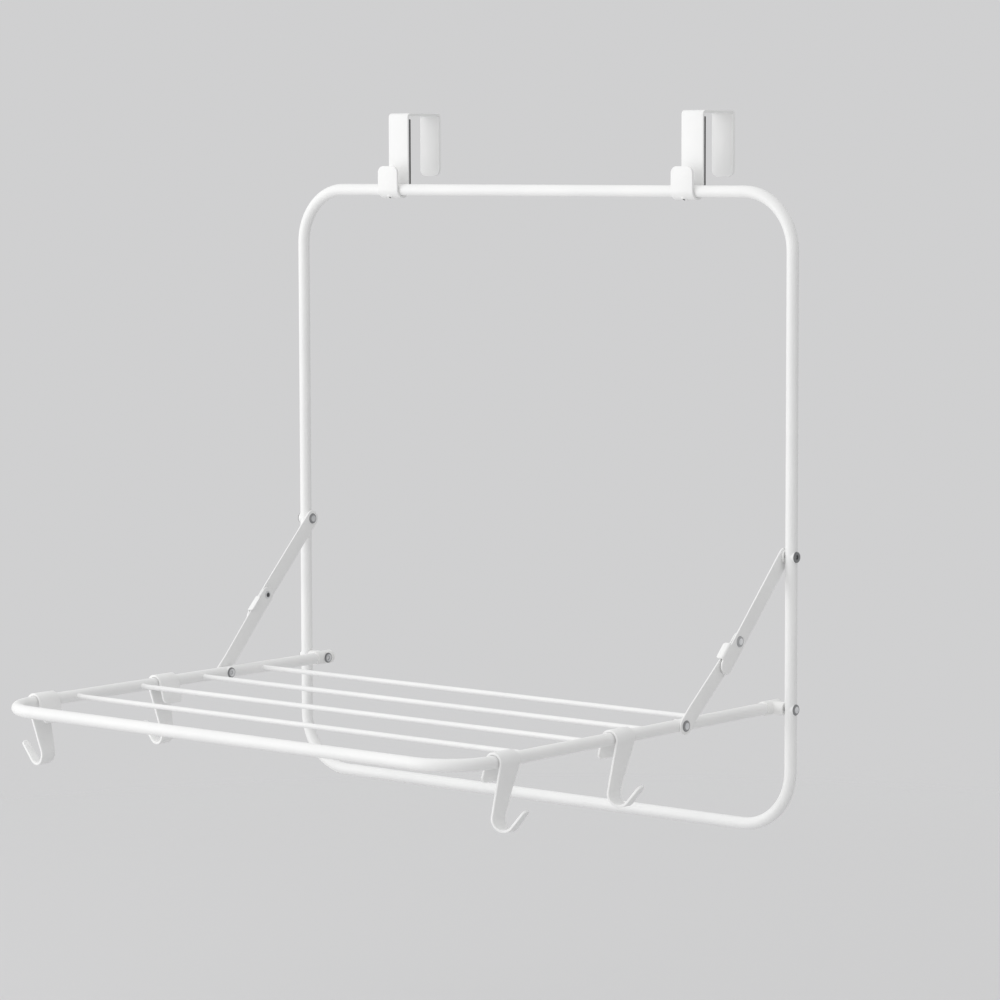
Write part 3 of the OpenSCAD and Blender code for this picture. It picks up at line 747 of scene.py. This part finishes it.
curl_low, curl_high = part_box("elbow_tail_right")
curl_length = curl_high.x - curl_low.x
curl_radius = 0.0033
curl_bore = 0.0012
curl_rise = 0.0006
curl_foot = curl_length - curl_rise
curl_floor = curl_foot + 0.00005  # just off the link, so the coat doesn't show in the bore
# the third values are painted shade: the bore painted near black, the rolled lip left plain zinc
curl_outline = [
    (0.0, 0.0, 1.0), (rivet_shank, 0.0, 1.0), (rivet_shank, curl_foot, 1.0),
    (curl_radius, curl_foot, 0.4), (curl_radius - 0.0002, curl_foot + curl_rise * 0.7, 0.1),
    (curl_radius - 0.0007, curl_length, 0.0), (curl_bore + 0.0009, curl_length - 0.0001, 0.3),
    (curl_bore + 0.0005, curl_length - 0.0003, 1.0), (curl_bore, curl_floor + 0.00005, 1.0),
    (0.0, curl_floor, 1.0),
]
elbow_curl = turn_on_lathe("elbow_curl_right", curl_outline)
paint_shade(elbow_curl, curl_outline)
set_in_place(elbow_curl, (curl_high.x, -elbow.x, elbow.y), (0, math.radians(-90), 0))
for right, node, part in (
    (elbow_head, "elbow_rivet_", "upper"), (elbow_curl, "elbow_tail_", "lower"),
):
    for piece, side in both_sides(right):
        fit(piece, zinc_plate, "zinc", side + "_" + part + "_link", node + side)

# ---------------------------------------------------------------- garment hooks
# Four strip hooks hang over the shelf's arms and slide along them. Each is one steel blank that
# narrows to a round tip, bent to a crown, a flap, a leg and a hooked foot, and then coated.

crown_play = 0.0009
hook_crown = tube_radius + crown_play + hook_strip / 2
crown_width = 0.021
foot_width = 0.014
tip_width = 0.0065
tip_round = tip_width / 2 - 0.00005  # just short of a full round
leg_length = 0.038
foot_radius = 0.0085
foot_turn = 155
foot_steps = 22
tip_length = 0.0176
flap_length = 0.018
flap_corner = 0.005
hook_lean = math.radians(16)  # the strip leans off the upright by this
hook_sink = 0.00075  # how far the crown's middle hangs below the arm's


def narrow(ratio, x, z):
    """Narrows the strip's picked end about its middle."""
    bpy.ops.transform.resize(value=(1, ratio, 1), center_override=(x, 0, z))


clothes_hook = add_blank(
    "clothes_hook", crown_width, leg_length,
    (hook_crown, 0, -leg_length / 2), (math.radians(90), 0, math.radians(90)),
)
pick(lambda co: co.z < -leg_length + same_place)
narrow(foot_width / crown_width, hook_crown, -leg_length)
foot_x = hook_crown + foot_radius
tip_slope = math.radians(foot_turn - 90)
tip_end = foot_x + foot_radius * math.sin(tip_slope) + tip_length * math.cos(tip_slope)
taper_start = hook_crown + hook_strip / 2
taper_end = tip_end - tip_width / 2
width = foot_width
for step in range(foot_steps):
    fold((foot_x, 0, -leg_length), (0, 1, 0), degrees=foot_turn / foot_steps, steps=1)
    reach = foot_x - foot_radius * math.cos(math.radians(foot_turn * (step + 1) / foot_steps))
    share = max(0.0, (reach - taper_start) / (taper_end - taper_start))
    wanted = foot_width + (tip_width - foot_width) * share
    narrow(wanted / width, 0, 0)
    width = wanted
feed(tip_length * math.cos(tip_slope), 0, tip_length * math.sin(tip_slope))
narrow(tip_width / width, 0, 0)
round_corners(tip_round, steps=10)
pick(lambda co: co.z > -same_place and co.x < hook_crown + same_place)
fold((0, 0, 0), (0, 1, 0), degrees=180, steps=28)
feed(0, 0, -flap_length)
pick(lambda co: co.x < 0 and co.z < -flap_length + same_place)
round_corners(flap_corner, steps=8)
finish_strip(clothes_hook, hook_strip)
for row in ("front", "rear"):
    low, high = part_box(row + "_hook_right")
    hung = copy_of(clothes_hook, row + "_clothes_hook_right")
    set_in_place(hung, (arm_x, (low.y + high.y) / 2, pivot_z - hook_sink), (0, hook_lean, 0))
    for piece, side in both_sides(hung):
        fit(piece, white_coat, "coat", side + "_" + row + "_hook", row + "_hook_" + side)
bpy.data.objects.remove(clothes_hook)

# ---------------------------------------------------------------- studio
# A pale round floor that fades out, and a pale tent all round that is brighter on the left, in
# front, above and below than on the right. One large soft lamp stands in front, to the left.

tent_light = 0.72
tent_side = 0.31  # how much brighter the tent is on its bright side
tent_ends = 0.40  # how much brighter it is straight above and below
bright_side = Vector((-0.77, -0.63, -0.03))
surround_seen = (0.63, 0.63, 0.635)
world = bpy.data.worlds.new("studio")
bpy.context.scene.world = world
world.use_nodes = True
tent = world.node_tree
background = tent.nodes["Background"]
background.inputs["Color"].default_value = (1, 1, 1, 1)
direction = node_at(tent, "ShaderNodeTexCoord", -1200, 0)
towards = node_at(tent, "ShaderNodeVectorMath", -1000, 0, operation="DOT_PRODUCT")
towards.inputs[1].default_value = bright_side
parts = node_at(tent, "ShaderNodeSeparateXYZ", -1000, -250)
upright = node_at(tent, "ShaderNodeMath", -800, -250, operation="MULTIPLY")
ends = node_at(tent, "ShaderNodeMath", -600, -250, operation="MULTIPLY_ADD")
ends.inputs[1].default_value = tent_ends
ends.inputs[2].default_value = tent_light
level = node_at(tent, "ShaderNodeMath", -400, -100, operation="MULTIPLY_ADD")
level.inputs[1].default_value = tent_side
seen = node_at(tent, "ShaderNodeBackground", 0, -200)
seen.inputs["Color"].default_value = (*surround_seen, 1)
rays = node_at(tent, "ShaderNodeLightPath", -600, 300)
mirrored = node_at(tent, "ShaderNodeMath", -400, 300, operation="MAXIMUM")
shown = node_at(tent, "ShaderNodeMath", -200, 300, operation="MAXIMUM")
either = node_at(tent, "ShaderNodeMixShader", 200, 0)
link_sockets(
    tent,
    (direction.outputs["Generated"], towards.inputs[0]),
    (direction.outputs["Generated"], parts.inputs["Vector"]),
    (parts.outputs["Z"], upright.inputs[0]),
    (parts.outputs["Z"], upright.inputs[1]),
    (upright.outputs["Value"], ends.inputs[0]),
    (towards.outputs["Value"], level.inputs[0]),
    (ends.outputs["Value"], level.inputs[2]),
    (level.outputs["Value"], background.inputs["Strength"]),
    (rays.outputs["Is Glossy Ray"], mirrored.inputs[0]),
    (rays.outputs["Is Transmission Ray"], mirrored.inputs[1]),
    (rays.outputs["Is Camera Ray"], shown.inputs[0]),
    (mirrored.outputs["Value"], shown.inputs[1]),
    (shown.outputs["Value"], either.inputs["Fac"]),
    (background.outputs["Background"], either.inputs[1]),
    (seen.outputs["Background"], either.inputs[2]),
    (either.outputs["Shader"], tent.nodes["World Output"].inputs["Surface"]),
)

floor_drop = 0.19  # below the rack's lowest point
floor_solid = 0.7  # the floor is whole up to this radius
floor_gone = 1.6  # and has faded out at this one
floor_radius = 1.65
floor_place = (0, 0, cad_box[0][2] - floor_drop)
bpy.ops.object.select_all(action="DESELECT")
bpy.ops.mesh.primitive_circle_add(
    vertices=96, radius=floor_radius, fill_type="NGON", location=floor_place)
floor = name_new("floor")
bpy.ops.object.transform_apply(location=True, rotation=True, scale=True)
floor_paint = bpy.data.materials.new("floor_paint")
floor_paint.use_nodes = True
paint = floor_paint.node_tree
floor_shader = paint.nodes["Principled BSDF"]
floor_shader.inputs["Base Color"].default_value = (0.66, 0.66, 0.665, 1)
floor_shader.inputs["Roughness"].default_value = 0.9
spot = node_at(paint, "ShaderNodeTexCoord", -900, 0)
flat = node_at(paint, "ShaderNodeVectorMath", -700, 0, operation="MULTIPLY")
flat.inputs[1].default_value = (1, 1, 0)
away = node_at(paint, "ShaderNodeVectorMath", -500, 0, operation="LENGTH")
fade = node_at(paint, "ShaderNodeMapRange", -300, 0, interpolation_type="SMOOTHSTEP")
fade.inputs["From Min"].default_value = floor_solid
fade.inputs["From Max"].default_value = floor_gone
fade.inputs["To Min"].default_value = 1.0
fade.inputs["To Max"].default_value = 0.0
facing = node_at(paint, "ShaderNodeNewGeometry", -500, -250)
front = node_at(paint, "ShaderNodeMath", -300, -250, operation="SUBTRACT")
front.inputs[0].default_value = 1.0
cover = node_at(paint, "ShaderNodeMath", -100, -100, operation="MULTIPLY")
link_sockets(
    paint,
    (spot.outputs["Object"], flat.inputs[0]),
    (flat.outputs["Vector"], away.inputs[0]),
    (away.outputs["Value"], fade.inputs["Value"]),
    (facing.outputs["Backfacing"], front.inputs[1]),
    (fade.outputs["Result"], cover.inputs[0]),
    (front.outputs["Value"], cover.inputs[1]),
    (cover.outputs["Value"], floor_shader.inputs["Alpha"]),
)
floor.data.materials.append(floor_paint)

rack_middle = Vector((0, -0.15, -0.30))
key_place = rack_middle + Vector((-1.55, -2.1, 0.15))
key_size = 2.4
bpy.ops.object.light_add(type="AREA", location=key_place)
key = bpy.context.object
key.name = "key_lamp"
key.data.shape = "RECTANGLE"
key.data.size = key_size
key.data.size_y = key_size
key.data.energy = 18
key.rotation_mode = "QUATERNION"
key.rotation_quaternion = (rack_middle - key_place).to_track_quat("-Z", "Y")

# ---------------------------------------------------------------- finish
# Colours are shown plainly.

bpy.context.scene.view_settings.view_transform = "Standard"
